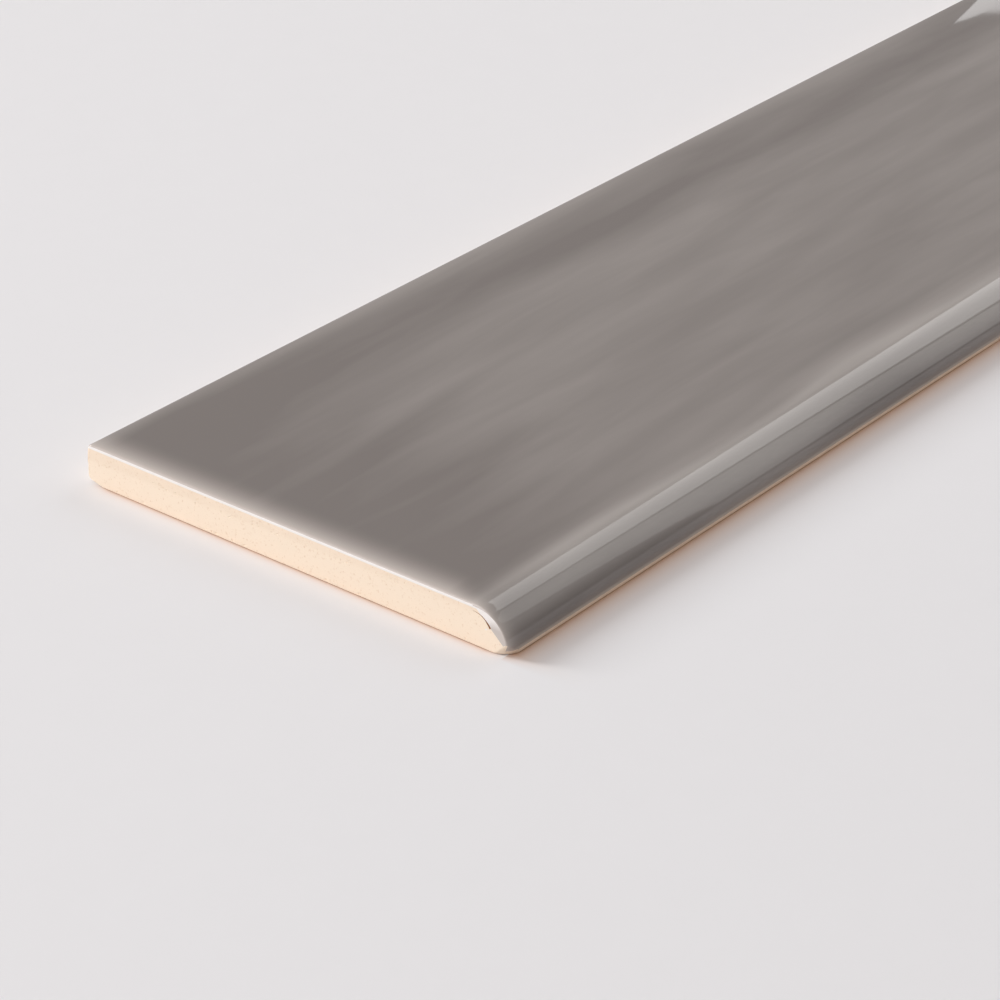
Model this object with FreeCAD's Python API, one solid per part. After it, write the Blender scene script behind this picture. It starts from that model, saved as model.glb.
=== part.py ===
import FreeCAD, Part
import math
import os

# Glazed wall trim tile with one quarter-round long edge, lying on its back.
# Millimetres. X runs along the tile, the nose looks towards -Y, Z leaves the glazed face.
# The origin is at the middle of the back.

# Overall sizes
tile_length = 400.0
tile_width = 100.0
tile_thickness = 8.2

# Nose: a quarter round above a short straight foot
nose_foot = 0.4

# Arrises: along the glazed face, and at the foot of the nose's two ends
face_arris = 0.8
nose_end_arris = 1.8

# Straight side: its foot rounds into a flat bevel that lifts it off the bed
heel_width = 4.2
heel_rise = 1.0
heel_round = 1.2

# Key on the back: rows of shallow pressed pockets inside a plain border
key_border = 9.0
key_depth = 0.7
key_draft = 0.5
key_rib = 3.0
key_corner = 2.0
key_rows = 3

# Values that follow from the sizes above
nose_radius = tile_thickness - nose_foot
nose_y = -tile_width / 2
side_y = tile_width / 2
end_x = tile_length / 2
bevel_slope = math.atan2(heel_rise, heel_width)
keel_depth = heel_rise + nose_end_arris
heel_end_y = side_y - heel_width


def section_point(y, z):
    """A point of the cross-section, in the plane of the near end."""
    return FreeCAD.Vector(-end_x, y, z)


def section_line(start, end):
    """A straight stretch of the cross-section."""
    return Part.LineSegment(start, end).toShape()


def section_arc(centre_y, centre_z, radius, start, end):
    """A round stretch of the cross-section, its angles in radians from +Y towards +Z."""
    def at(angle):
        return section_point(centre_y + radius * math.cos(angle), centre_z + radius * math.sin(angle))
    return Part.Arc(at(start), at((start + end) / 2), at(end)).toShape()


def cross_section():
    """Nose, face, side and bevel, carried on below the bed so that the arrises run out there."""
    right_angle = math.pi / 2
    heel_centre_y = side_y - heel_round
    heel_setback = heel_round * math.tan((right_angle - bevel_slope) / 2)
    heel_centre_z = heel_rise + heel_setback
    bevel_angle = bevel_slope - right_angle
    bevel_start = section_point(
        heel_centre_y + heel_round * math.cos(bevel_angle),
        heel_centre_z + heel_round * math.sin(bevel_angle),
    )
    keel_y = heel_end_y - keel_depth / math.tan(bevel_slope)
    keel_side = section_point(keel_y, -keel_depth)
    keel_nose = section_point(nose_y, -keel_depth)
    foot_top = section_point(nose_y, nose_foot)
    face_start = section_point(nose_y + nose_radius, tile_thickness)
    face_end = section_point(side_y - face_arris, tile_thickness)
    side_top = section_point(side_y, tile_thickness - face_arris)
    side_foot = section_point(side_y, heel_centre_z)
    stretches = [
        section_line(keel_nose, foot_top),
        section_arc(nose_y + nose_radius, nose_foot, nose_radius, 2 * right_angle, right_angle),
        section_line(face_start, face_end),
        section_arc(side_y - face_arris, tile_thickness - face_arris, face_arris, right_angle, 0),
        section_line(side_top, side_foot),
        section_arc(heel_centre_y, heel_centre_z, heel_round, 0, bevel_angle),
        section_line(bevel_start, keel_side),
        section_line(keel_side, keel_nose),
    ]
    return Part.Face(Part.Wire(stretches))


def is_nose_end(edge):
    """True for the two quarter rounds where the nose meets the ends."""
    return edge.Curve.TypeId == "Part::GeomCircle" and edge.BoundBox.YMin < nose_y + nose_radius / 2


def body_with_arrises():
    """The bar of that section; its end arris widens down the nose and runs on round the face."""
    bar = cross_section().extrude(FreeCAD.Vector(tile_length, 0, 0))
    nose_ends = [edge for edge in bar.Edges if is_nose_end(edge)]
    eased = bar.makeFillet(nose_end_arris, face_arris, nose_ends)
    bed = Part.makeBox(tile_length, tile_width, tile_thickness, FreeCAD.Vector(-end_x, nose_y, 0))
    return eased.common(bed)


def rounded_outline(length, width, corner, z):
    """A rectangle with round corners about the Z axis, level with z."""
    def at(centre_x, centre_y, angle):
        return FreeCAD.Vector(centre_x + corner * math.cos(angle), centre_y + corner * math.sin(angle), z)
    reach_x = length / 2 - corner
    reach_y = width / 2 - corner
    centres = [(reach_x, reach_y), (-reach_x, reach_y), (-reach_x, -reach_y), (reach_x, -reach_y)]
    arcs = []
    for quarter, (x, y) in enumerate(centres):
        start = quarter * math.pi / 2
        arcs.append(Part.Arc(at(x, y, start), at(x, y, start + math.pi / 4), at(x, y, start + math.pi / 2)))
    stretches = []
    for arc, following in zip(arcs, arcs[1:] + arcs[:1]):
        stretches.append(arc.toShape())
        stretches.append(Part.LineSegment(arc.EndPoint, following.StartPoint).toShape())
    return Part.Wire(stretches)


def key_pocket(length, width):
    """One pocket of the key, narrower at its floor so that the press lets go of it."""
    mouth = rounded_outline(length, width, key_corner, 0)
    floor = rounded_outline(length - 2 * key_draft, width - 2 * key_draft, key_corner - key_draft, key_depth)
    return Part.makeLoft([mouth, floor], True, True)


def key_pockets():
    """Pockets in rows along the tile, as near to square as the back allows."""
    first_y = nose_y + key_border
    width = (heel_end_y - key_border - first_y - (key_rows - 1) * key_rib) / key_rows
    run = tile_length - 2 * key_border
    columns = max(1, round((run + key_rib) / (width + key_rib)))
    length = (run - (columns - 1) * key_rib) / columns
    pocket = key_pocket(length, width)
    pockets = []
    for column in range(columns):
        x = -run / 2 + length / 2 + column * (length + key_rib)
        for row in range(key_rows):
            y = first_y + width / 2 + row * (width + key_rib)
            pockets.append(pocket.translated(FreeCAD.Vector(x, y, 0)))
    return Part.Compound(pockets)


os.makedirs("parts", exist_ok=True)
tile = body_with_arrises().cut(key_pockets()).Solids[0]
tile.exportStep("parts/bullnose_tile.step")
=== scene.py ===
import math
import random

import bmesh
import bpy
from mathutils import Euler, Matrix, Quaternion, Vector


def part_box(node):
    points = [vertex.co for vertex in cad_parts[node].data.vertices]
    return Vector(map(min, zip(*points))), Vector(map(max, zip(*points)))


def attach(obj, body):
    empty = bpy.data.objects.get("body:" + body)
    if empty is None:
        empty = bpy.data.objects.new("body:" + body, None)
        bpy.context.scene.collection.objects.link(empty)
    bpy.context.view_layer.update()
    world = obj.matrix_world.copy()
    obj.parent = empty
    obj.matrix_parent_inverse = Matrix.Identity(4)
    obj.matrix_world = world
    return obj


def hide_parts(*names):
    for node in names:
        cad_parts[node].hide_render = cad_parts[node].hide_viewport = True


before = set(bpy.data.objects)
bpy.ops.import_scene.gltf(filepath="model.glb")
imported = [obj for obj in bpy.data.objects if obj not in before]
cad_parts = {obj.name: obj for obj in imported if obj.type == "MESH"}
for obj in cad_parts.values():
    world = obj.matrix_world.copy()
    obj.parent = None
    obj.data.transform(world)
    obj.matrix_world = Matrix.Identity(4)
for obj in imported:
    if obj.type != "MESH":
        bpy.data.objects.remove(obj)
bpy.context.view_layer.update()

bl_info = {
    "name": "Bullnose tile",
    "version": (1, 0, 0),
    "blender": (4, 5, 0),
    "location": "3D View > Sidebar > Tile",
    "description": "A glazed wall trim tile with one quarter-round long edge, lying on a pale floor",
    "category": "Object",
}

NODE = "bullnose_tile"
LOW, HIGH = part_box(NODE)
MM = 0.001

# Points closer than TOUCH count as the same place, and a cut merges points closer than MERGE.
TOUCH = 0.01 * MM
MERGE = TOUCH / 10

# Parts of a face's normal along an axis: flat to it, exactly square to it, mostly along it, hardly along it.
FLAT = 0.99
SQUARE = 0.999
MOSTLY = 0.7
HARDLY = 0.1

# Upward parts of the normals that look down: undercut, just overhanging, and the back itself.
UNDERCUT = -0.08
OVERHANG = -0.02
BACK = -0.9

# Faces that look outward more than this are white engobe: round the flat face, and at the nose's ends.
STEEP = 0.8
NOSE_STEEP = 0.93

# Edges sharper than this stay sharp when the tile is shaded smooth.
SHARP = math.radians(38)

# How finely the rounded edges and the long faces are divided.
NOSE_STEPS = 36
ARRIS_STEPS = 6
CORNER_STEPS = 4
FOOT_STEPS = 6
BACK_STEPS = 2
LENGTH_CUTS = 79
EDGE_STRIPS = 6
FACE_STRIPS = 14
END_STRIPS = 5

# Power by which those strips crowd towards an edge.
CROWDING = 1.6

# Shares of the ends' fall at which the glaze is cut across, so that it falls in a curve.
END_SHARES = (0.35, 0.52, 0.74, 1.0)

# Damage on each end: how many pits and lost crumbs, how many bevel heights up the crumbs lie, and the most
# that any of them is turned. The seed places them.
PITS = 95
CRUMBS = 16
CRUMB_HEIGHT = 3.75
MOST_TURN = 0.4
SEED = 7

# Lower limit of the torn band on the ends, in millimetres: at the straight side, and its climb to the nose.
TORN_START = 4.9
TORN_CLIMB = 1.9

# Cutters stand this much outside an end, so that none of their corners lies in its plane.
PROUD = 1.0001

# Material slots of the tile.
GLAZE, ENGOBE, BISCUIT, STAIN = range(4)

# Sockets of the Mix node when it mixes colours.
MIX_A, MIX_B, MIX_RESULT = 6, 7, 2


def linear(hex_colour):
    """An sRGB hex value as the linear red, green and blue that shaders take."""
    channels = [int(hex_colour[start:start + 2], 16) / 255 for start in (0, 2, 4)]
    return tuple(c / 12.92 if c <= 0.04045 else ((c + 0.055) / 1.055) ** 2.4 for c in channels)


def length(name, description, millimetres):
    """A length that a user can set, given in millimetres and kept in metres."""
    return bpy.props.FloatProperty(
        name=name,
        description=description,
        default=millimetres * MM,
        precision=5,
        unit="LENGTH",
        subtype="DISTANCE",
    )


def colour(name, description, hex_colour):
    """A colour that a user can set."""
    return bpy.props.FloatVectorProperty(
        name=name, description=description, default=linear(hex_colour), subtype="COLOR", min=0, max=1
    )


class TileSizes(bpy.types.PropertyGroup):
    """Sizes of the pressed and fired tile."""

    nose_foot: length("Nose foot", "Straight foot below the quarter round", 0.4)
    face_arris: length("Face arris", "Rounding along the straight side's upper edge", 0.8)
    end_arris: length("End arris", "Rounding between the glaze and the two ends", 0.5)
    lip_height: length("Lip height", "White lip that hangs over the ends below the glaze", 0.7)
    trim_top_across: length("Trim top across", "Distance from the nose at which the ends' trim starts", 6.8)
    trim_top_height: length("Trim top height", "Height at which that trim starts", 7.35)
    trim_foot_across: length("Trim foot across", "Distance from the nose at which that trim runs out", 0.7)
    trim_foot_height: length("Trim foot height", "Height at which that trim runs out", 1.7)
    trim_depth: length("Trim depth", "How far along the nose that trim reaches", 0.13)
    corner_round: length("Corner round", "Rounding between the ends and the nose's foot, at the back", 4.0)
    corner_height: length("Corner height", "Height at which that rounding has run out", 3.2)
    corner_bare: length("Corner bare", "Height up to which that rounding is bare clay", 0.9)
    chamfer_rise: length("Chamfer rise", "Height of the flat bevel under both ends", 0.16)
    chamfer_reach: length("Chamfer reach", "How far in that bevel reaches", 3.5)
    back_arris: length("Back arris", "Slight rounding round the back", 0.2)
    heel_width: length("Heel width", "Width of the flat bevel under the straight side", 4.2)
    heel_rise: length("Heel rise", "How far the bevel lifts the straight side", 1.0)
    heel_round: length("Heel round", "Rounding between the straight side and the bevel", 1.2)
    key_border: length("Key border", "Plain border round the key on the back", 9.0)
    key_depth: length("Key depth", "Depth of the key's pockets", 0.7)
    key_draft: length("Key draft", "How much each pocket narrows to its floor", 0.5)
    key_rib: length("Key rib", "Rib left between two pockets", 3.0)
    key_corner: length("Key corner", "Round corner of a pocket", 2.0)
    key_rows: bpy.props.IntProperty(name="Key rows", description="Rows of pockets across the back", default=3)
    roll_reach: length("Roll-off reach", "How far in from the straight side the glaze starts to fall", 9.0)
    roll_drop: length("Roll-off drop", "How far the glaze has fallen at that side", 0.22)
    end_reach: length("End reach", "How far in from an end the glaze starts to fall", 2.6)
    end_drop: length("End drop", "How far the glaze has fallen at an end", 0.12)
    swell_size: length("Swell size", "Width of the slow swells in the glaze", 34.0)
    swell_height: length("Swell height", "Height of those swells", 0.05)


class TileColours(bpy.types.PropertyGroup):
    """Colours of the glaze, the white coat under it and the clay body."""

    glaze_deep: colour("Deep glaze", "Grey glaze where it lies thickest", "7D7571")
    # Along the crest, part of this paleness is a painted reflection.
    glaze_light: colour("Light glaze", "Grey glaze where it lies thinner, along the nose's crest", "AAA29D")
    glaze_thin: colour("Thin glaze", "Glaze that has run thin at an end", "CABEB7")
    glaze_foot: colour("Glaze at the foot", "Glaze that runs out above the nose's bare foot", "E4D8CE")
    engobe: colour("Engobe", "White coat that shows at the arris", "F6F0ED")
    engobe_veil: colour("Veiled engobe", "White coat under a last film of glaze", "C8BEB8")
    biscuit: colour("Biscuit", "Pale fired clay", "F6E3CE")
    biscuit_rough: colour("Rough biscuit", "Torn upper band of the fired clay", "EED9C3")
    biscuit_pit: colour("Pit", "Brown floor of a pit", "D6B38F")
    stain: colour("Stain", "Iron stain in the crack", "A87546")


class StageLook(bpy.types.PropertyGroup):
    """Camera, floor and light."""

    eye: bpy.props.FloatVectorProperty(
        name="Eye", description="Place of the camera", default=(-0.5715, -0.3484, 0.2928), unit="LENGTH"
    )
    azimuth: bpy.props.FloatProperty(
        name="Azimuth",
        description="Turn of the camera about Z",
        default=math.radians(-51.056),
        unit="ROTATION",
    )
    elevation: bpy.props.FloatProperty(
        name="Elevation",
        description="How far the camera looks down",
        default=math.radians(28.802),
        unit="ROTATION",
    )
    lens: bpy.props.FloatProperty(name="Lens", description="Focal length in millimetres", default=118.864)
    floor_size: length("Floor size", "Side of the square floor", 9000.0)
    floor_colour: colour("Floor", "Matt white card", "E4E1E2")
    # Painted warm contact shade: the card darkens and warms towards this colour beside the nose's foot and
    # before both ends.
    painted_contact_shade_colour: colour("Painted contact shade", "Card darkened and warmed as painted contact shade, beside the tile's foot and ends", "CDA88F")
    room_low: bpy.props.FloatProperty(
        name="Room, low", description="Brightness of the room level with the floor", default=0.28
    )
    room_high: bpy.props.FloatProperty(
        name="Room, high", description="Brightness of the room overhead", default=0.26
    )


def select_only(piece):
    """Leaves one object selected and active."""
    bpy.ops.object.select_all(action="DESELECT")
    piece.select_set(True)
    bpy.context.view_layer.objects.active = piece


def pick(piece, kind, rule):
    """In edit mode, selects the edges or faces that the rule takes, and nothing else."""
    bpy.ops.mesh.select_mode(type=kind)
    bpy.ops.mesh.select_all(action="DESELECT")
    mesh = bmesh.from_edit_mesh(piece.data)
    elements = {"EDGE": mesh.edges, "FACE": mesh.faces}[kind]
    for element in elements:
        if rule(element):
            element.select_set(True)
    bmesh.update_edit_mesh(piece.data)


def near(first, second):
    """True where two coordinates are the same to within the tolerance."""
    return abs(first - second) < TOUCH


def modify(piece, kind, **settings):
    """Adds one modifier to the piece, sets it and applies it."""
    select_only(piece)
    bpy.ops.object.modifier_add(type=kind)
    modifier = piece.modifiers[-1]
    for name, value in settings.items():
        setattr(modifier, name, value)
    bpy.ops.object.modifier_apply(modifier=modifier.name)


def round_over(piece, rule, offset, steps, **settings):
    """Rounds the edges that the rule takes."""
    pick(piece, "EDGE", rule)
    bpy.ops.mesh.bevel(offset=offset, segments=steps, profile=0.5, affect="EDGES", **settings)


def cut_across(piece, place, normal, rule):
    """Cuts the faces that the rule takes along a plane."""
    pick(piece, "FACE", rule)
    bpy.ops.mesh.bisect(plane_co=place, plane_no=normal, threshold=MERGE)


def slice_off(piece, place, normal):
    """Cuts off what lies beyond a plane and closes the cut."""
    bpy.ops.mesh.select_all(action="SELECT")
    bpy.ops.mesh.bisect(
        plane_co=place, plane_no=normal.normalized(), threshold=MERGE, clear_outer=True, use_fill=True
    )


def on_end(edge):
    """True for an edge that lies in the plane of either end."""
    return any(all(near(v.co.x, end) for v in edge.verts) for end in (LOW.x, HIGH.x))


def along_at(y, z):
    """A rule that takes the edges at one place across the tile and one height."""
    return lambda edge: all(near(v.co.y, y) and near(v.co.z, z) for v in edge.verts)


def crest(sizes):
    """Place across the tile where the nose's quarter round meets the flat face."""
    return LOW.y + HIGH.z - sizes.nose_foot


def edge_steps(reach, count):
    """Distances from an edge that grow closer towards it."""
    return [reach * (step / count) ** CROWDING for step in range(1, count + 1)]


def add_block():
    """A plain block at the tile's size and place."""
    bpy.ops.object.select_all(action="DESELECT")
    bpy.ops.mesh.primitive_cube_add(size=1, location=(LOW + HIGH) / 2, scale=HIGH - LOW)
    block = bpy.context.object
    block.name = "fired_bullnose_tile"
    block.data.name = block.name
    bpy.ops.object.transform_apply(location=True, rotation=True, scale=True)
    return block


def round_nose(tile, sizes):
    """Rounds the long upper edge towards -Y into the nose, down to its straight foot."""
    round_over(tile, along_at(LOW.y, HIGH.z), HIGH.z - sizes.nose_foot, NOSE_STEPS)


def shape_straight_side(tile, sizes):
    """Takes the bevel off the side's foot, then rounds its two long edges."""
    heel_start = Vector((0, HIGH.y - sizes.heel_width, LOW.z))
    slice_off(tile, heel_start, Vector((0, sizes.heel_rise, -sizes.heel_width)))
    round_over(tile, along_at(HIGH.y, HIGH.z), sizes.face_arris, ARRIS_STEPS)
    slope = math.atan2(sizes.heel_rise, sizes.heel_width)
    setback = sizes.heel_round * math.tan((math.pi / 2 - slope) / 2)
    round_over(tile, along_at(HIGH.y, LOW.z + sizes.heel_rise), setback, ARRIS_STEPS)


def divide_face(tile, sizes):
    """Cuts the glazed face into strips along the tile, finer towards its two long edges."""
    def on_face(face):
        return face.normal.z > FLAT and near(face.calc_center_median().z, HIGH.z)

    nose_top = crest(sizes)
    side_top = HIGH.y - sizes.face_arris
    strip = 5 * MM
    spots = [side_top - step for step in edge_steps(sizes.roll_reach, EDGE_STRIPS)]
    spots += [nose_top + step for step in edge_steps(sizes.roll_reach, EDGE_STRIPS)]
    spots += [nose_top + sizes.roll_reach + strip * count for count in range(1, FACE_STRIPS + 1)]
    for spot in spots:
        cut_across(tile, (0, spot, 0), (0, 1, 0), on_face)


def ease_ends(tile, sizes):
    """Rounds the two ends over the face, the nose and the side's upper edge, and leaves the rest sharp."""
    side_top = HIGH.z - sizes.face_arris + TOUCH

    def is_glazed(edge):
        level = all(near(v.co.z, LOW.z) for v in edge.verts)
        low_side = all(v.co.y > 0 and v.co.z < side_top for v in edge.verts)
        return on_end(edge) and not level and not low_side

    round_over(tile, is_glazed, sizes.end_arris, ARRIS_STEPS, clamp_overlap=False)


def slice_nose(tile, sizes, at_end, along):
    """Slices one end of the nose along a straight chord of its round."""
    radius = HIGH.z - sizes.nose_foot
    centre = Vector((0, LOW.y + radius, LOW.z + sizes.nose_foot))
    top = Vector((0, LOW.y + sizes.trim_top_across, LOW.z + sizes.trim_top_height))
    foot = Vector((0, LOW.y + sizes.trim_foot_across, LOW.z + sizes.trim_foot_height))
    chord = (top - foot).normalized()
    chord_middle = centre + (foot - centre) - chord * (foot - centre).dot(chord)
    outward = (chord_middle - centre).normalized()
    sagitta = radius - (chord_middle - centre).length
    slice_off(tile, at_end + chord_middle, along * sagitta + outward * sizes.trim_depth)


def round_foot_corner(tile, sizes, at_end, along):
    """Rounds the corner between one end and the nose, most at the back and less and less up the nose."""
    corner = at_end + Vector((0, LOW.y, LOW.z))
    for step in range(1, FOOT_STEPS):
        turn = math.pi / 2 * step / FOOT_STEPS
        loss = math.cos(turn) + math.sin(turn) - 1
        way = along * math.cos(turn) - Vector((0, math.sin(turn), 0))
        undercut = Vector((0, 0, loss * sizes.corner_round / sizes.corner_height))
        slice_off(tile, corner - way * sizes.corner_round * loss, way - undercut)


def bevel_foot(tile, sizes, at_end, along):
    """Takes a flat bevel off the foot of one end."""
    rise = Vector((0, 0, LOW.z + sizes.chamfer_rise))
    slice_off(tile, at_end + rise, along * sizes.chamfer_rise - Vector((0, 0, sizes.chamfer_reach)))


def trim_ends(tile, sizes):
    """Trims both ends: the nose, its corner and the foot."""
    for end in (LOW.x, HIGH.x):
        at_end = Vector((end, 0, 0))
        along = Vector((math.copysign(1, end), 0, 0))
        slice_nose(tile, sizes, at_end, along)
        round_foot_corner(tile, sizes, at_end, along)
        bevel_foot(tile, sizes, at_end, along)


def mark_bare(tile, sizes):
    """Cuts along the limits of the bare clay: below the ends' white lip, and low on the nose's corners."""
    lip = HIGH.z - sizes.lip_height
    cut_across(tile, (0, 0, lip), (0, 0, 1), lambda face: abs(face.normal.x) > FLAT)
    bare_top = LOW.z + sizes.corner_bare
    cut_across(tile, (0, 0, bare_top), (0, 0, 1), lambda face: BACK < face.normal.z < UNDERCUT)


def ease_back(tile, sizes):
    """Breaks the sharp edge round the back, apart from the side's bevel, and the side's two upright edges."""
    def is_outline(edge):
        level = all(near(v.co.z, LOW.z) for v in edge.verts)
        at_heel = all(near(v.co.y, HIGH.y - sizes.heel_width) for v in edge.verts)
        upright = on_end(edge) and all(near(v.co.y, HIGH.y) for v in edge.verts)
        return upright or level and not at_heel

    round_over(tile, is_outline, sizes.back_arris, BACK_STEPS)


def cut_near_ends(tile, distance, rule):
    """Cuts the faces that the rule takes at one distance from both ends."""
    for spot in (LOW.x + distance, HIGH.x - distance):
        cut_across(tile, (spot, 0, 0), (1, 0, 0), rule)


def divide_length(tile, sizes):
    """Cuts the tile across all along its length, finer towards the two ends."""
    def on_top(face):
        return face.normal.z > HARDLY and abs(face.normal.x) < HARDLY

    half = (HIGH.x - LOW.x) / 2
    pick(tile, "EDGE", lambda edge: abs(edge.verts[0].co.x - edge.verts[1].co.x) > half)
    bpy.ops.mesh.subdivide(number_cuts=LENGTH_CUTS)
    for step in edge_steps(sizes.roll_reach, END_STRIPS):
        cut_near_ends(tile, sizes.corner_round + step, lambda face: True)
    for share in END_SHARES:
        cut_near_ends(tile, share * sizes.end_reach, on_top)


def weigh(piece, name, rule):
    """A vertex group whose weights the rule gives for each place."""
    group = piece.vertex_groups.new(name=name)
    for vertex in piece.data.vertices:
        weight = rule(vertex.co)
        if weight > 0:
            group.add([vertex.index], weight, "REPLACE")
    return group.name


def flow_glaze(tile, sizes):
    """Lets the glazed face fall away towards its edges and swell slowly between them."""
    nose_top = crest(sizes)

    def from_ends(place):
        return min(place.x - LOW.x, HIGH.x - place.x)

    def roll_off(place):
        side_share = max(0, 1 - (HIGH.y - place.y) / sizes.roll_reach)
        end_share = max(0, 1 - from_ends(place) / sizes.end_reach)
        height = max(0, (place.z - HIGH.z / 2) / (HIGH.z / 2))
        return max(side_share ** 2, end_share ** 2 * sizes.end_drop / sizes.roll_drop) * height

    def swell(place):
        if not near(place.z, HIGH.z):
            return 0
        inside = min(from_ends(place), HIGH.y - place.y, place.y - nose_top)
        return min(1, inside / (2 * sizes.roll_reach))

    swell_group = weigh(tile, "swell", swell)
    roll_group = weigh(tile, "roll off", roll_off)
    clouds = bpy.data.textures.new("slow swell", type="CLOUDS")
    clouds.noise_scale = sizes.swell_size
    clouds.noise_depth = 1
    modify(
        tile,
        "DISPLACE",
        texture=clouds,
        texture_coords="LOCAL",
        vertex_group=swell_group,
        direction="Z",
        strength=sizes.swell_height,
        mid_level=1,
    )
    modify(tile, "DISPLACE", vertex_group=roll_group, direction="Z", strength=-sizes.roll_drop, mid_level=0)


def paint_faces(tile, sizes):
    """Glaze on the face and nose, white engobe on the arrises and the lip, and bare clay on the rest."""
    nose_top = crest(sizes)
    lip = HIGH.z - sizes.lip_height
    foot_top = LOW.z + 1.5 * sizes.nose_foot
    corner_top = LOW.z + sizes.corner_bare
    for polygon in tile.data.polygons:
        normal = polygon.normal
        centre = polygon.center
        outward = max(abs(normal.x), normal.y)
        if centre.y < nose_top:
            steep = NOSE_STEEP
            bare_corner = centre.z < corner_top or abs(normal.x) > MOSTLY
            bare = centre.z < foot_top or normal.z < UNDERCUT and bare_corner
        else:
            steep = STEEP
            bare = normal.z < OVERHANG or centre.z < lip
        slot = GLAZE
        if bare or outward > SQUARE and centre.z < lip:
            slot = BISCUIT
        elif outward > steep:
            slot = ENGOBE
        polygon.material_index = slot


def finish_cutter(pieces, slot, materials):
    """Joins the pieces into one cutter, and gives it the tile's materials and the slot that its cuts take."""
    bpy.ops.object.select_all(action="DESELECT")
    for piece in pieces:
        piece.select_set(True)
    cutter = pieces[0]
    bpy.context.view_layer.objects.active = cutter
    if len(pieces) > 1:
        bpy.ops.object.join()
    bpy.ops.object.transform_apply(location=True, rotation=True, scale=True)
    cutter.data.materials.clear()
    for material in materials:
        cutter.data.materials.append(material)
    for polygon in cutter.data.polygons:
        polygon.material_index = slot
    return cutter


def add_balls(balls, slot, materials):
    """Flattened balls in one cutter, each given as its place, half-sizes and turn about X."""
    pieces = []
    for place, radii, turn in balls:
        bpy.ops.mesh.primitive_ico_sphere_add(
            subdivisions=2, radius=1, location=place, scale=radii, rotation=(turn, 0, 0)
        )
        pieces.append(bpy.context.object)
    return finish_cutter(pieces, slot, materials)


def add_key(sizes, materials):
    """The key's pockets in one cutter: rows inside a plain border, each pocket narrower at its floor."""
    start = Vector((LOW.x + sizes.key_border, LOW.y + sizes.key_border))
    end = Vector((HIGH.x - sizes.key_border, HIGH.y - sizes.heel_width - sizes.key_border))
    width = (end.y - start.y - (sizes.key_rows - 1) * sizes.key_rib) / sizes.key_rows
    columns = round((end.x - start.x + sizes.key_rib) / (width + sizes.key_rib))
    run = (end.x - start.x - (columns - 1) * sizes.key_rib) / columns
    # The cutter hangs out of the back as far as it goes in, so it narrows by twice the draft on every side.
    depth = 2 * sizes.key_depth
    mouth = Vector((run + 2 * sizes.key_draft, width + 2 * sizes.key_draft, depth))
    narrowing = (1 - 4 * sizes.key_draft / mouth.x, 1 - 4 * sizes.key_draft / mouth.y, 1)
    place = Vector((start.x + run / 2, start.y + width / 2, LOW.z))
    bpy.ops.mesh.primitive_cube_add(size=1, location=place, scale=mouth)
    pocket = bpy.context.object
    bpy.ops.object.transform_apply(location=True, rotation=True, scale=True)
    bpy.ops.object.mode_set(mode="EDIT")

    def is_upright(edge):
        return near(abs(edge.verts[0].co.z - edge.verts[1].co.z), depth)

    round_over(pocket, is_upright, sizes.key_corner, CORNER_STEPS)
    pick(pocket, "FACE", lambda face: face.normal.z > FLAT)
    bpy.ops.transform.resize(value=narrowing, center_override=place)
    bpy.ops.object.mode_set(mode="OBJECT")
    next_column = (run + sizes.key_rib, 0, 0)
    next_row = (0, width + sizes.key_rib, 0)
    for count, step in ((columns, next_column), (sizes.key_rows, next_row)):
        modify(
            pocket,
            "ARRAY",
            count=count,
            use_relative_offset=False,
            use_constant_offset=True,
            constant_offset_displace=step,
        )
    return finish_cutter([pocket], BISCUIT, materials)


def add_crack(materials):
    """The crack behind the glaze at the near end of the nose: a thin groove that opens at its lower end."""
    # Distance from the nose and height in millimetres, and the opening as a share of the usual width.
    course = (
        (7.8, 6.8, 0.4),
        (7.0, 6.75, 0.6),
        (5.9, 6.5, 0.8),
        (4.9, 5.75, 1.0),
        (4.25, 5.0, 2.3),
        (3.95, 4.55, 2.1),
    )
    sunk = 0.03 * MM
    curve = bpy.data.curves.new("crack", type="CURVE")
    curve.dimensions = "3D"
    curve.bevel_depth = 0.1 * MM
    curve.bevel_resolution = 1
    curve.use_fill_caps = True
    spline = curve.splines.new("NURBS")
    spline.points.add(len(course) - 1)
    for point, (across, height, opening) in zip(spline.points, course):
        point.co = (LOW.x + sunk, LOW.y + across * MM, LOW.z + height * MM, 1)
        point.radius = opening
    spline.order_u = 3
    spline.use_endpoint_u = True
    crack = bpy.data.objects.new("crack", curve)
    bpy.context.scene.collection.objects.link(crack)
    select_only(crack)
    bpy.ops.object.convert(target="MESH")
    bpy.ops.object.mode_set(mode="EDIT")
    bpy.ops.mesh.select_all(action="SELECT")
    bpy.ops.mesh.remove_doubles(threshold=MERGE)
    bpy.ops.mesh.normals_make_consistent(inside=False)
    bpy.ops.object.mode_set(mode="OBJECT")
    return finish_cutter([crack], STAIN, materials)


def cut_out(tile, cutters):
    """Cuts the cutters out of the tile and clears them away."""
    for cutter in cutters:
        modify(tile, "BOOLEAN", object=cutter, operation="DIFFERENCE", solver="EXACT")
        bpy.data.objects.remove(cutter, do_unlink=True)


def far_apart(balls, place, reach):
    """True where a new ball clears the ones already placed."""
    return all((place - other).length > reach + max(radii) for other, radii, turn in balls)


def torn_height(y):
    """Lower limit of the torn band on the ends: it climbs from the straight side to the nose."""
    share = (HIGH.y - y) / (HIGH.y - LOW.y)
    return LOW.z + (TORN_START + TORN_CLIMB * share) * MM


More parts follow.
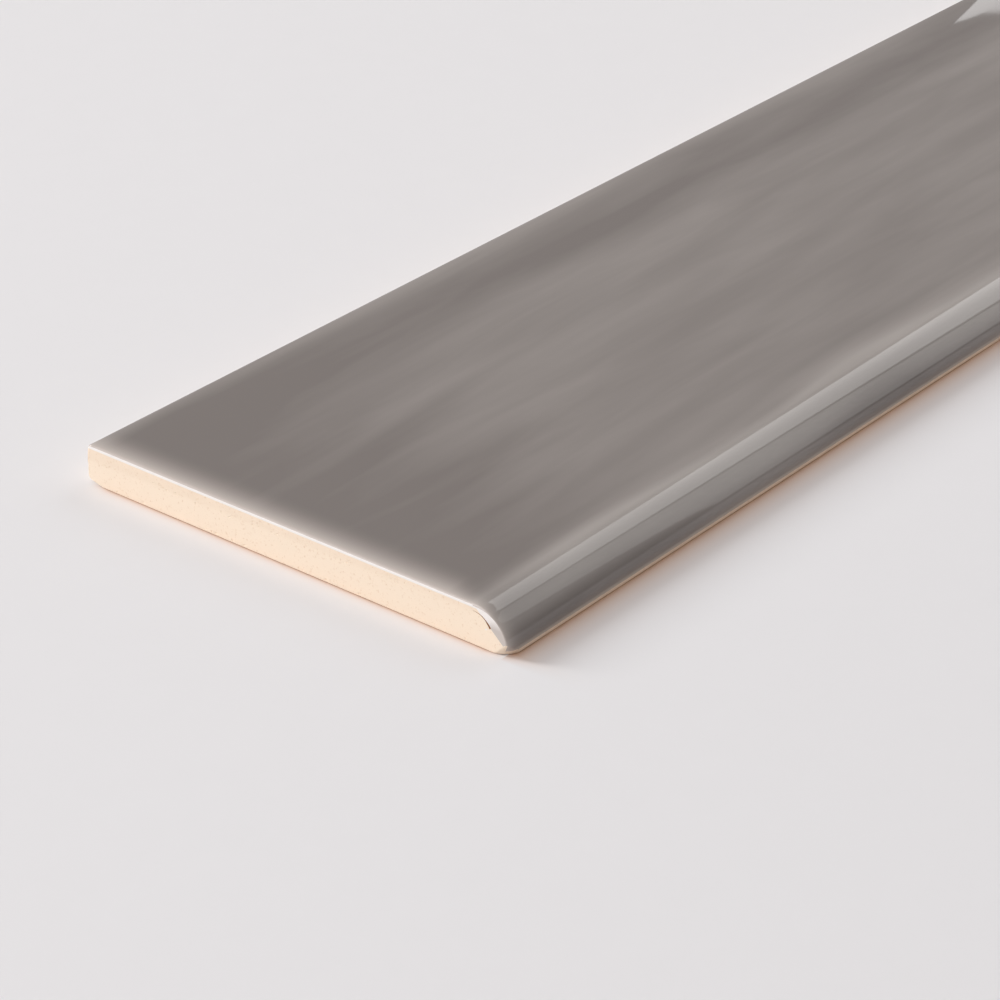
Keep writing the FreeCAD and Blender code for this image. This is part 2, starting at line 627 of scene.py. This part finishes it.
def pit_balls(draw):
    """Pits in the torn upper band of both ends: most along its lower limit, the rest above it."""
    near_nose = LOW.y + 14 * MM
    near_side = HIGH.y - 1.6 * MM
    top = HIGH.z - 1.1 * MM
    share_at_limit = 0.6
    scatter = 0.22 * MM
    balls = []
    for end in (LOW.x, HIGH.x):
        placed = 0
        while placed < PITS:
            y = draw.uniform(near_nose, near_side)
            limit = torn_height(y)
            at_limit = draw.random() < share_at_limit
            z = limit + draw.gauss(0, scatter) if at_limit else draw.uniform(limit, top)
            if z > top:
                continue
            half_width = draw.uniform(0.1, 0.28) * MM
            radii = (draw.uniform(0.07, 0.15) * MM, half_width, half_width * draw.uniform(0.4, 0.8))
            place = Vector((end * PROUD, y, z))
            placed += 1
            if far_apart(balls, place, half_width):
                balls.append((place, radii, draw.uniform(-MOST_TURN, MOST_TURN)))
    return balls


def crumb_balls(draw, sizes):
    """Crumbs lost from the lower edge of both ends."""
    margin = 6 * MM
    z = LOW.z + CRUMB_HEIGHT * sizes.chamfer_rise
    balls = []
    for end in (LOW.x, HIGH.x):
        for count in range(CRUMBS):
            place = Vector((end * PROUD, draw.uniform(LOW.y + margin, HIGH.y - margin), z))
            depth = draw.uniform(0.08, 0.22) * MM
            half_width = draw.uniform(0.2, 0.7) * MM
            half_height = draw.uniform(0.12, 0.26) * MM
            if far_apart(balls, place, half_width):
                radii = (depth, half_width, half_height)
                balls.append((place, radii, draw.uniform(-MOST_TURN, MOST_TURN)))
    return balls


def drop_balls():
    """A drop of white slip below the crack's lower end, level with the clay."""
    place = Vector((LOW.x * PROUD, LOW.y + 4.87 * MM, LOW.z + 4.1 * MM))
    radii = (0.04 * MM, 0.3 * MM, 0.17 * MM)
    turn = -0.5
    return [(place, radii, turn)]


def facet_ends(tile):
    """Leaves the damage in the bare ends flat-shaded, as torn clay is."""
    damage_depth = 0.4 * MM
    corner_reach = 5 * MM
    for polygon in tile.data.polygons:
        close = HIGH.x - abs(polygon.center.x) < damage_depth
        on_corner = polygon.normal.z < UNDERCUT and polygon.center.y < LOW.y + corner_reach
        on_level = abs(polygon.normal.x) > SQUARE
        if polygon.material_index >= BISCUIT and close and not on_corner and not on_level:
            polygon.use_smooth = False


def add_node(material, kind, settings=None, links=None):
    """Adds one node: settings are values of its sockets or of the node itself, links feed its sockets."""
    node = material.node_tree.nodes.new(kind)
    for name, value in (settings or {}).items():
        if isinstance(name, int) or name in node.inputs:
            node.inputs[name].default_value = value
        else:
            setattr(node, name, value)
    for name, source in (links or {}).items():
        material.node_tree.links.new(source, node.inputs[name])
    return node


def new_material(name):
    """A node material without a shader, with a point's place on the piece and the parts of that place."""
    material = bpy.data.materials.new(name)
    material.use_nodes = True
    material.node_tree.nodes.clear()
    place = add_node(material, "ShaderNodeTexCoord").outputs["Object"]
    parts = add_node(material, "ShaderNodeSeparateXYZ", links={"Vector": place}).outputs
    return material, place, parts


def rgba(value):
    """A colour property as the four numbers that a socket takes."""
    return (*value, 1)


def glaze_profile(material, source, stops, reach):
    """How the glaze lies along a source that runs from 0 to 1 over the reach; the stops are millimetres."""
    profile = add_node(material, "ShaderNodeValToRGB", links={"Fac": source})
    elements = profile.color_ramp.elements
    elements.remove(elements[-1])
    for count, (distance, value) in enumerate(stops.items()):
        stop = elements.new(distance / reach) if count else elements[0]
        stop.position = distance / reach
        stop.color = (value, value, value, 1)
    return profile.outputs["Color"]


def glaze_run(material, place, parts):
    """The way across the tile, from 0 at the nose to 1 at the straight side, wavering as the glaze ran."""
    drift_size = 60 * MM
    drift_width = 9 * MM
    drift = add_node(
        material, "ShaderNodeTexNoise", {"Scale": 1 / drift_size, "Detail": 1}, {"Vector": place}
    )
    moved = add_node(
        material,
        "ShaderNodeMath",
        {"operation": "MULTIPLY_ADD", 1: drift_width},
        {0: drift.outputs["Fac"], 2: parts["Y"]},
    )
    run = add_node(
        material,
        "ShaderNodeMapRange",
        {"From Min": LOW.y + drift_width / 2, "From Max": HIGH.y + drift_width / 2},
        {"Value": moved.outputs["Value"]},
    )
    return run.outputs["Result"]


def glaze_thinness(material, place, parts, run):
    """How thin the glaze lies, by its place across the tile and up the nose, with streaks along the tile."""
    # By the distance from the nose: thin on the crest, deepest inside the straight side. The lighter band on
    # the face just inside the crest is partly thin glaze and partly a painted reflection.
    nose_thinness_and_sheen = {0: 0.2, 0.6: 0.3, 1.2: 0.45, 2.3: 0.6, 5: 0.74, 8: 0.88, 10.5: 0.48, 14: 0.28}
    face_stops = {30: 0.3, 76: 0.34, 85: 0.05, 89: 0.07, 95: 0.2, 100: 0.45}
    across = glaze_profile(material, run, {**nose_thinness_and_sheen, **face_stops}, (HIGH.y - LOW.y) / MM)
    # By the height: thin over the bend of the nose and where the glaze runs out at its foot.
    bend_stops = {0.4: 0.6, 1.2: 0.4, 2.6: 0, 3.6: 0, 5: 0.33, 6.2: 0.34, 7.4: 0.15, 8: 0.08, 8.2: 0}
    height = add_node(
        material,
        "ShaderNodeMapRange",
        {"From Min": LOW.z, "From Max": HIGH.z},
        {"Value": parts["Z"]},
    )
    bend = glaze_profile(material, height.outputs["Result"], bend_stops, (HIGH.z - LOW.z) / MM)
    streak_size = (60 * MM, 8 * MM, 40 * MM)
    streak_depth = 0.17
    streak_place = add_node(
        material, "ShaderNodeMapping", {"Scale": [1 / size for size in streak_size]}, {"Vector": place}
    )
    streak = add_node(
        material,
        "ShaderNodeTexNoise",
        {"Scale": 1, "Detail": 3, "Roughness": 0.5, "Distortion": 0.3},
        {"Vector": streak_place.outputs["Vector"]},
    )
    streak_share = add_node(
        material,
        "ShaderNodeMapRange",
        {"From Min": 0.25, "From Max": 0.75, "To Min": -streak_depth, "To Max": streak_depth},
        {"Value": streak.outputs["Fac"]},
    )
    streaked = add_node(
        material, "ShaderNodeMath", {"operation": "ADD"}, {0: across, 1: streak_share.outputs["Result"]}
    )
    bent = add_node(
        material, "ShaderNodeMath", {"operation": "ADD"}, {0: streaked.outputs["Value"], 1: bend}
    )
    return bent.outputs["Value"]


def glaze_gathered(material, thinness, run, along, on_nose):
    """The same less what gathers near the ends: widely on the flat of the face, close to them on the nose."""
    # By the distance from the nose: the pool lies neither on the nose nor along the straight side.
    pool_stops = {7: 0, 10: 0.5, 22: 1, 93: 1, 99: 0}
    pool_across = glaze_profile(material, run, pool_stops, (HIGH.y - LOW.y) / MM)
    pool_along = add_node(
        material,
        "ShaderNodeMapRange",
        {
            "interpolation_type": "SMOOTHSTEP",
            "From Min": HIGH.x - 75 * MM,
            "From Max": HIGH.x - 6 * MM,
            "To Max": 0.34,
        },
        {"Value": along},
    )
    pool = add_node(
        material,
        "ShaderNodeMath",
        {"operation": "MULTIPLY"},
        {0: pool_along.outputs["Result"], 1: pool_across},
    )
    pooled = add_node(
        material, "ShaderNodeMath", {"operation": "SUBTRACT"}, {0: thinness, 1: pool.outputs["Value"]}
    )
    gathered = add_node(
        material,
        "ShaderNodeMapRange",
        {"From Min": HIGH.x - 24 * MM, "From Max": HIGH.x - 6 * MM, "To Max": -0.3},
        {"Value": along},
    )
    share = add_node(
        material,
        "ShaderNodeMath",
        {"operation": "MULTIPLY_ADD"},
        {0: on_nose, 1: gathered.outputs["Result"], 2: pooled.outputs["Value"]},
    )
    return share.outputs["Value"]


def glazed_earthenware(colours):
    """Grey glaze fired on clay: mirror-smooth, deep inside the straight side, thin and pale on the crest,
    where the paleness is partly a painted reflection.
    """
    material, place, parts = new_material("glazed earthenware")
    from_middle = add_node(material, "ShaderNodeMath", {"operation": "ABSOLUTE"}, {0: parts["X"]})
    along = from_middle.outputs["Value"]
    nose_share = add_node(
        material,
        "ShaderNodeMapRange",
        {"From Min": LOW.y + 14 * MM, "From Max": LOW.y + 9 * MM},
        {"Value": parts["Y"]},
    )
    on_nose = nose_share.outputs["Result"]
    run = glaze_run(material, place, parts)
    thinness = glaze_thinness(material, place, parts, run)
    share = glaze_gathered(material, thinness, run, along, on_nose)
    body = add_node(
        material,
        "ShaderNodeMix",
        {"data_type": "RGBA", MIX_A: rgba(colours.glaze_deep), MIX_B: rgba(colours.glaze_light)},
        {"Factor": share},
    )
    # At the very ends it runs thin, over a shorter stretch on the nose than on the face.
    thin_reach = 8 * MM
    towards_end = add_node(
        material,
        "ShaderNodeMapRange",
        {"From Min": HIGH.x - thin_reach, "From Max": HIGH.x},
        {"Value": along},
    )
    briefness = add_node(material, "ShaderNodeMapRange", {"To Min": 2.2, "To Max": 5}, {"Value": on_nose})
    thin = add_node(
        material,
        "ShaderNodeMath",
        {"operation": "POWER"},
        {0: towards_end.outputs["Result"], 1: briefness.outputs["Result"]},
    )
    ended = add_node(
        material,
        "ShaderNodeMix",
        {"data_type": "RGBA", MIX_B: rgba(colours.glaze_thin)},
        {"Factor": thin.outputs["Value"], MIX_A: body.outputs[MIX_RESULT]},
    )
    low = add_node(
        material,
        "ShaderNodeMapRange",
        {"From Min": LOW.z + 1.45 * MM, "From Max": LOW.z + 0.4 * MM},
        {"Value": parts["Z"]},
    )
    colour_out = add_node(
        material,
        "ShaderNodeMix",
        {"data_type": "RGBA", MIX_B: rgba(colours.glaze_foot)},
        {"Factor": low.outputs["Result"], MIX_A: ended.outputs[MIX_RESULT]},
    )
    ripple_size = 11 * MM
    ripple_height = 0.1 * MM
    ripple = add_node(
        material, "ShaderNodeTexNoise", {"Scale": 1 / ripple_size, "Detail": 1}, {"Vector": place}
    )
    bump = add_node(
        material,
        "ShaderNodeBump",
        {"Strength": 0.06, "Distance": ripple_height},
        {"Height": ripple.outputs["Fac"]},
    )
    shader = add_node(
        material,
        "ShaderNodeBsdfPrincipled",
        {"Roughness": 0.03, "IOR": 1.5},
        {"Base Color": colour_out.outputs[MIX_RESULT], "Normal": bump.outputs["Normal"]},
    )
    add_node(material, "ShaderNodeOutputMaterial", links={"Surface": shader.outputs["BSDF"]})
    return material


def white_engobe(colours):
    """White slip that the glaze has drawn back from: satin, with a last grey film low on the nose."""
    material, place, parts = new_material("white engobe")
    cloud_size = 2.5 * MM
    cloud_depth = 0.25
    cloud = add_node(
        material, "ShaderNodeTexNoise", {"Scale": 1 / cloud_size, "Detail": 3}, {"Vector": place}
    )
    outer = add_node(
        material,
        "ShaderNodeMapRange",
        {"From Min": LOW.y + 4.6 * MM, "From Max": LOW.y + 3.8 * MM},
        {"Value": parts["Y"]},
    )
    low = add_node(
        material,
        "ShaderNodeMapRange",
        {"From Min": 6.4 * MM, "From Max": 4.4 * MM},
        {"Value": parts["Z"], "To Max": outer.outputs["Result"]},
    )
    veil = add_node(
        material,
        "ShaderNodeMath",
        {"operation": "MULTIPLY_ADD", 1: cloud_depth},
        {0: cloud.outputs["Fac"], 2: low.outputs["Result"]},
    )
    colour_out = add_node(
        material,
        "ShaderNodeMix",
        {"data_type": "RGBA", MIX_A: rgba(colours.engobe), MIX_B: rgba(colours.engobe_veil)},
        {"Factor": veil.outputs["Value"]},
    )
    shader = add_node(
        material,
        "ShaderNodeBsdfPrincipled",
        {"Roughness": 0.28, "IOR": 1.5},
        {"Base Color": colour_out.outputs[MIX_RESULT]},
    )
    add_node(material, "ShaderNodeOutputMaterial", links={"Surface": shader.outputs["BSDF"]})
    return material


def fired_biscuit(name, smooth, rough, pit):
    """Unglazed pressed clay: matt and sandy, smooth low on the ends and torn and speckled above."""
    material, place, parts = new_material(name)
    limit = add_node(
        material,
        "ShaderNodeMapRange",
        {"From Min": HIGH.y, "From Max": LOW.y, "To Min": torn_height(HIGH.y), "To Max": torn_height(LOW.y)},
        {"Value": parts["Y"]},
    )
    above = add_node(
        material,
        "ShaderNodeMath",
        {"operation": "SUBTRACT"},
        {0: parts["Z"], 1: limit.outputs["Result"]},
    )
    blur = 0.5 * MM
    torn = add_node(
        material,
        "ShaderNodeMapRange",
        {"From Min": -blur, "From Max": blur},
        {"Value": above.outputs["Value"]},
    )
    mottle_size = 3.2 * MM
    mottle = add_node(
        material,
        "ShaderNodeTexNoise",
        {"Scale": 1 / mottle_size, "Detail": 4, "Roughness": 0.6},
        {"Vector": place},
    )
    # The grit of pressed clay is about half as coarse; at that size it would not show.
    grain_size = 0.45 * MM
    grain_height = 0.12 * MM
    grain = add_node(
        material, "ShaderNodeTexNoise", {"Scale": 1 / grain_size, "Detail": 2}, {"Vector": place}
    )
    torn_share = add_node(
        material,
        "ShaderNodeMath",
        {"operation": "MULTIPLY"},
        {0: torn.outputs["Result"], 1: mottle.outputs["Fac"]},
    )
    body = add_node(
        material,
        "ShaderNodeMix",
        {"data_type": "RGBA", MIX_A: rgba(smooth), MIX_B: rgba(rough)},
        {"Factor": torn_share.outputs["Value"]},
    )
    speck = add_node(
        material,
        "ShaderNodeMapRange",
        {"From Min": 0.6, "From Max": 0.78, "To Max": 0.5},
        {"Value": grain.outputs["Fac"]},
    )
    colour_out = add_node(
        material,
        "ShaderNodeMix",
        {"data_type": "RGBA", MIX_B: rgba(pit)},
        {"Factor": speck.outputs["Result"], MIX_A: body.outputs[MIX_RESULT]},
    )
    bump = add_node(
        material,
        "ShaderNodeBump",
        {"Strength": 0.35, "Distance": grain_height},
        {"Height": grain.outputs["Fac"]},
    )
    shader = add_node(
        material,
        "ShaderNodeBsdfPrincipled",
        {"Roughness": 0.9, "IOR": 1.45},
        {"Base Color": colour_out.outputs[MIX_RESULT], "Normal": bump.outputs["Normal"]},
    )
    add_node(material, "ShaderNodeOutputMaterial", links={"Surface": shader.outputs["BSDF"]})
    return material


def painted_contact_shade_mask(material, gap, reach, run, full, gone, strength):
    """Painted warm contact shade on the card: it fades with the gap from the tile, and along it at its end.
    """
    outside = add_node(
        material, "ShaderNodeMath", {"operation": "GREATER_THAN", 1: -MM}, {0: gap.outputs["Value"]}
    )
    within = add_node(
        material,
        "ShaderNodeMapRange",
        {"From Min": gone, "From Max": full, "To Max": strength},
        {"Value": run.outputs["Value"]},
    )
    clear = add_node(material, "ShaderNodeMath", {"operation": "MAXIMUM", 1: 0}, {0: gap.outputs["Value"]})
    steps = add_node(
        material, "ShaderNodeMath", {"operation": "MULTIPLY", 1: -1 / reach}, {0: clear.outputs["Value"]}
    )
    fading = add_node(material, "ShaderNodeMath", {"operation": "EXPONENT"}, {0: steps.outputs["Value"]})
    strip = add_node(
        material,
        "ShaderNodeMath",
        {"operation": "MULTIPLY"},
        {0: outside.outputs["Value"], 1: within.outputs["Result"]},
    )
    light = add_node(
        material,
        "ShaderNodeMath",
        {"operation": "MULTIPLY"},
        {0: fading.outputs["Value"], 1: strip.outputs["Value"]},
    )
    return light.outputs["Value"]


def matt_card(look):
    """White card: matt, with the faint cloudiness of its pulp, and painted warm contact shade beside the
    tile's nose and before its ends.
    """
    material, place, parts = new_material("matt card")
    cloud_size = 9 * MM
    cloud = add_node(
        material, "ShaderNodeTexNoise", {"Scale": 1 / cloud_size, "Detail": 4}, {"Vector": place}
    )
    shade = add_node(
        material, "ShaderNodeMapRange", {"To Min": 0.985, "To Max": 1.0}, {"Value": cloud.outputs["Fac"]}
    )
    card = add_node(
        material,
        "ShaderNodeMix",
        {"data_type": "RGBA", MIX_A: (0, 0, 0, 1), MIX_B: rgba(look.floor_colour)},
        {"Factor": shade.outputs["Result"]},
    )
    along = add_node(material, "ShaderNodeMath", {"operation": "ABSOLUTE"}, {0: parts["X"]})
    across = add_node(material, "ShaderNodeMath", {"operation": "ABSOLUTE"}, {0: parts["Y"]})
    nose_gap = add_node(
        material, "ShaderNodeMath", {"operation": "SUBTRACT", 0: LOW.y}, {1: parts["Y"]}
    )
    end_gap = add_node(
        material, "ShaderNodeMath", {"operation": "SUBTRACT", 1: HIGH.x}, {0: along.outputs["Value"]}
    )
    # Painted warm contact shade along the nose's foot, and a narrower one before each end.
    nose_contact_shade = painted_contact_shade_mask(
        material,
        nose_gap,
        reach=3.4 * MM,
        run=along,
        full=HIGH.x - 2 * MM,
        gone=HIGH.x + MM,
        strength=1,
    )
    end_contact_shade = painted_contact_shade_mask(
        material,
        end_gap,
        reach=0.8 * MM,
        run=across,
        full=HIGH.y - 5 * MM,
        gone=HIGH.y - MM,
        strength=0.83,
    )
    contact_shade_share = add_node(material, "ShaderNodeMath", {"operation": "ADD"}, {0: nose_contact_shade, 1: end_contact_shade})
    colour_out = add_node(
        material,
        "ShaderNodeMix",
        {"data_type": "RGBA", MIX_B: rgba(look.painted_contact_shade_colour)},
        {"Factor": contact_shade_share.outputs["Value"], MIX_A: card.outputs[MIX_RESULT]},
    )
    shader = add_node(
        material,
        "ShaderNodeBsdfPrincipled",
        {"Roughness": 0.95, "IOR": 1.4},
        {"Base Color": colour_out.outputs[MIX_RESULT]},
    )
    add_node(material, "ShaderNodeOutputMaterial", links={"Surface": shader.outputs["BSDF"]})
    return material


def add_softbox(name, place, target, size, strength, lean=0):
    """A flat lamp of that size, in metres, that faces the target; strength is its surface's brightness."""
    width, height = size
    lamp = bpy.data.lights.new(name, type="AREA")
    lamp.shape = "RECTANGLE"
    lamp.size = width
    lamp.size_y = height
    lamp.energy = strength * math.pi * width * height
    softbox = bpy.data.objects.new(name, lamp)
    bpy.context.scene.collection.objects.link(softbox)
    softbox.location = place
    facing = (target - place).to_track_quat("-Z", "Y")
    softbox.rotation_euler = (facing @ Quaternion((0, 0, 1), lean)).to_euler()
    softbox.visible_camera = False


def add_standing(name, start, end, bottom, top, strength):
    """A lamp that stands square to the nose, a metre from its near end; its sides are given from there."""
    nose = Vector((LOW.x, LOW.y, HIGH.z))
    place = nose + Vector((1, (start + end) / 2, (bottom + top) / 2))
    target = place - Vector((1, 0, 0))
    add_softbox(name, place, target, (end - start, top - bottom), strength, lean=-0.1)


def add_lamps():
    """The key from behind the straight side, two softer lamps, and what the glaze mirrors."""
    tile_middle = Vector((0, 0, HIGH.z))
    key_side = Vector((-0.37, 0.93, 0)).normalized()
    key_rise = math.radians(26.5)
    key_way = key_side * math.cos(key_rise) + Vector((0, 0, math.sin(key_rise)))
    key_distance = 6.0
    add_softbox("key softbox", tile_middle + key_way * key_distance, tile_middle, (1.26, 2.3), strength=27.5)
    add_softbox("end softbox", Vector((-1.75, 0.58, 1.4)), tile_middle, (1.6, 1.6), strength=2.62)
    add_softbox("top softbox", Vector((-0.4, 0.6, 2.2)), tile_middle, (0.9, 0.9), strength=1.6)
    add_standing("tall softbox", start=-0.285, end=0.405, bottom=0.38, top=1.14, strength=1.75)
    add_standing("side card", start=-0.85, end=-0.37, bottom=0.05, top=1.1, strength=0.8)
    card_middle = Vector((1.0286, 0.3166, 0.2711))
    card_facing = card_middle - Vector((0.7778, 0.6286, 0))
    add_softbox("back card", card_middle, card_facing, (0.5, 0.1422), strength=1.5)


def dim_room(look):
    """The room's even light, a little stronger level with the floor than overhead."""
    world = bpy.data.worlds.new("dim room")
    world.use_nodes = True
    way = add_node(world, "ShaderNodeTexCoord").outputs["Generated"]
    rise = add_node(world, "ShaderNodeSeparateXYZ", links={"Vector": way}).outputs["Z"]
    glow = add_node(
        world, "ShaderNodeMapRange", {"To Min": look.room_low, "To Max": look.room_high}, {"Value": rise}
    )
    background = world.node_tree.nodes["Background"]
    background.inputs["Color"].default_value = (1, 1, 1, 1)
    world.node_tree.links.new(glow.outputs["Result"], background.inputs["Strength"])
    return world


def add_camera(look):
    """The camera at the place and angle of the view."""
    camera = bpy.data.objects.new("camera", bpy.data.cameras.new("camera"))
    bpy.context.scene.collection.objects.link(camera)
    camera.data.lens = look.lens
    camera.location = look.eye
    camera.rotation_euler = Euler((math.pi / 2 - look.elevation, 0, look.azimuth))
    return camera


class TILE_OT_fired_tile(bpy.types.Operator):
    """Models the tile, lays its glaze and puts it in the place of the plain solid"""

    bl_idname = "tile.fired_tile"
    bl_label = "Fired tile"

    def execute(self, context):
        sizes = context.scene.tile_sizes
        colours = context.scene.tile_colours
        tile = add_block()
        bpy.ops.object.mode_set(mode="EDIT")
        round_nose(tile, sizes)
        shape_straight_side(tile, sizes)
        divide_face(tile, sizes)
        ease_ends(tile, sizes)
        trim_ends(tile, sizes)
        mark_bare(tile, sizes)
        ease_back(tile, sizes)
        divide_length(tile, sizes)
        bpy.ops.object.mode_set(mode="OBJECT")
        materials = [
            glazed_earthenware(colours),
            white_engobe(colours),
            fired_biscuit("fired biscuit", colours.biscuit, colours.biscuit_rough, colours.biscuit_pit),
            fired_biscuit("stained biscuit", colours.stain, colours.biscuit_pit, colours.stain),
        ]
        for material in materials:
            tile.data.materials.append(material)
        paint_faces(tile, sizes)
        flow_glaze(tile, sizes)
        draw = random.Random(SEED)
        cutters = [
            add_key(sizes, materials),
            add_balls(pit_balls(draw), BISCUIT, materials),
            add_balls(crumb_balls(draw, sizes), BISCUIT, materials),
            add_crack(materials),
            add_balls(drop_balls(), ENGOBE, materials),
        ]
        cut_out(tile, cutters)
        select_only(tile)
        bpy.ops.object.shade_smooth_by_angle(angle=SHARP)
        facet_ends(tile)
        modify(tile, "WEIGHTED_NORMAL", keep_sharp=True)
        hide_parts(NODE)
        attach(tile, "root")
        return {"FINISHED"}


class TILE_OT_stage(bpy.types.Operator):
    """Lays the floor and sets the lamps, the room's dim light and the camera"""

    bl_idname = "tile.stage"
    bl_label = "Stage"

    def execute(self, context):
        look = context.scene.tile_stage
        bpy.ops.object.select_all(action="DESELECT")
        bpy.ops.mesh.primitive_plane_add(size=look.floor_size)
        floor = context.object
        floor.name = "floor"
        floor.data.materials.append(matt_card(look))
        add_lamps()
        context.scene.world = dim_room(look)
        context.scene.camera = add_camera(look)
        context.scene.view_settings.view_transform = "Standard"
        return {"FINISHED"}


class TILE_PT_sidebar(bpy.types.Panel):
    """Lists the tile's sizes, colours and steps"""

    bl_idname = "TILE_PT_sidebar"
    bl_label = "Bullnose tile"
    bl_space_type = "VIEW_3D"
    bl_region_type = "UI"
    bl_category = "Tile"

    def draw(self, context):
        for group in (context.scene.tile_sizes, context.scene.tile_colours, context.scene.tile_stage):
            box = self.layout.box()
            for name in group.__annotations__:
                box.prop(group, name)
        for operator in (TILE_OT_fired_tile, TILE_OT_stage):
            self.layout.operator(operator.bl_idname)


CLASSES = (TileSizes, TileColours, StageLook, TILE_OT_fired_tile, TILE_OT_stage, TILE_PT_sidebar)


def register():
    """Adds the classes to Blender and their settings to the scene."""
    for entry in CLASSES:
        bpy.utils.register_class(entry)
    bpy.types.Scene.tile_sizes = bpy.props.PointerProperty(type=TileSizes)
    bpy.types.Scene.tile_colours = bpy.props.PointerProperty(type=TileColours)
    bpy.types.Scene.tile_stage = bpy.props.PointerProperty(type=StageLook)


def unregister():
    """Takes the settings and classes out again."""
    del bpy.types.Scene.tile_sizes
    del bpy.types.Scene.tile_colours
    del bpy.types.Scene.tile_stage
    for entry in reversed(CLASSES):
        bpy.utils.unregister_class(entry)


def main():
    """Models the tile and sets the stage."""
    register()
    bpy.ops.tile.fired_tile()
    bpy.ops.tile.stage()


if __name__ == "__main__":
    main()
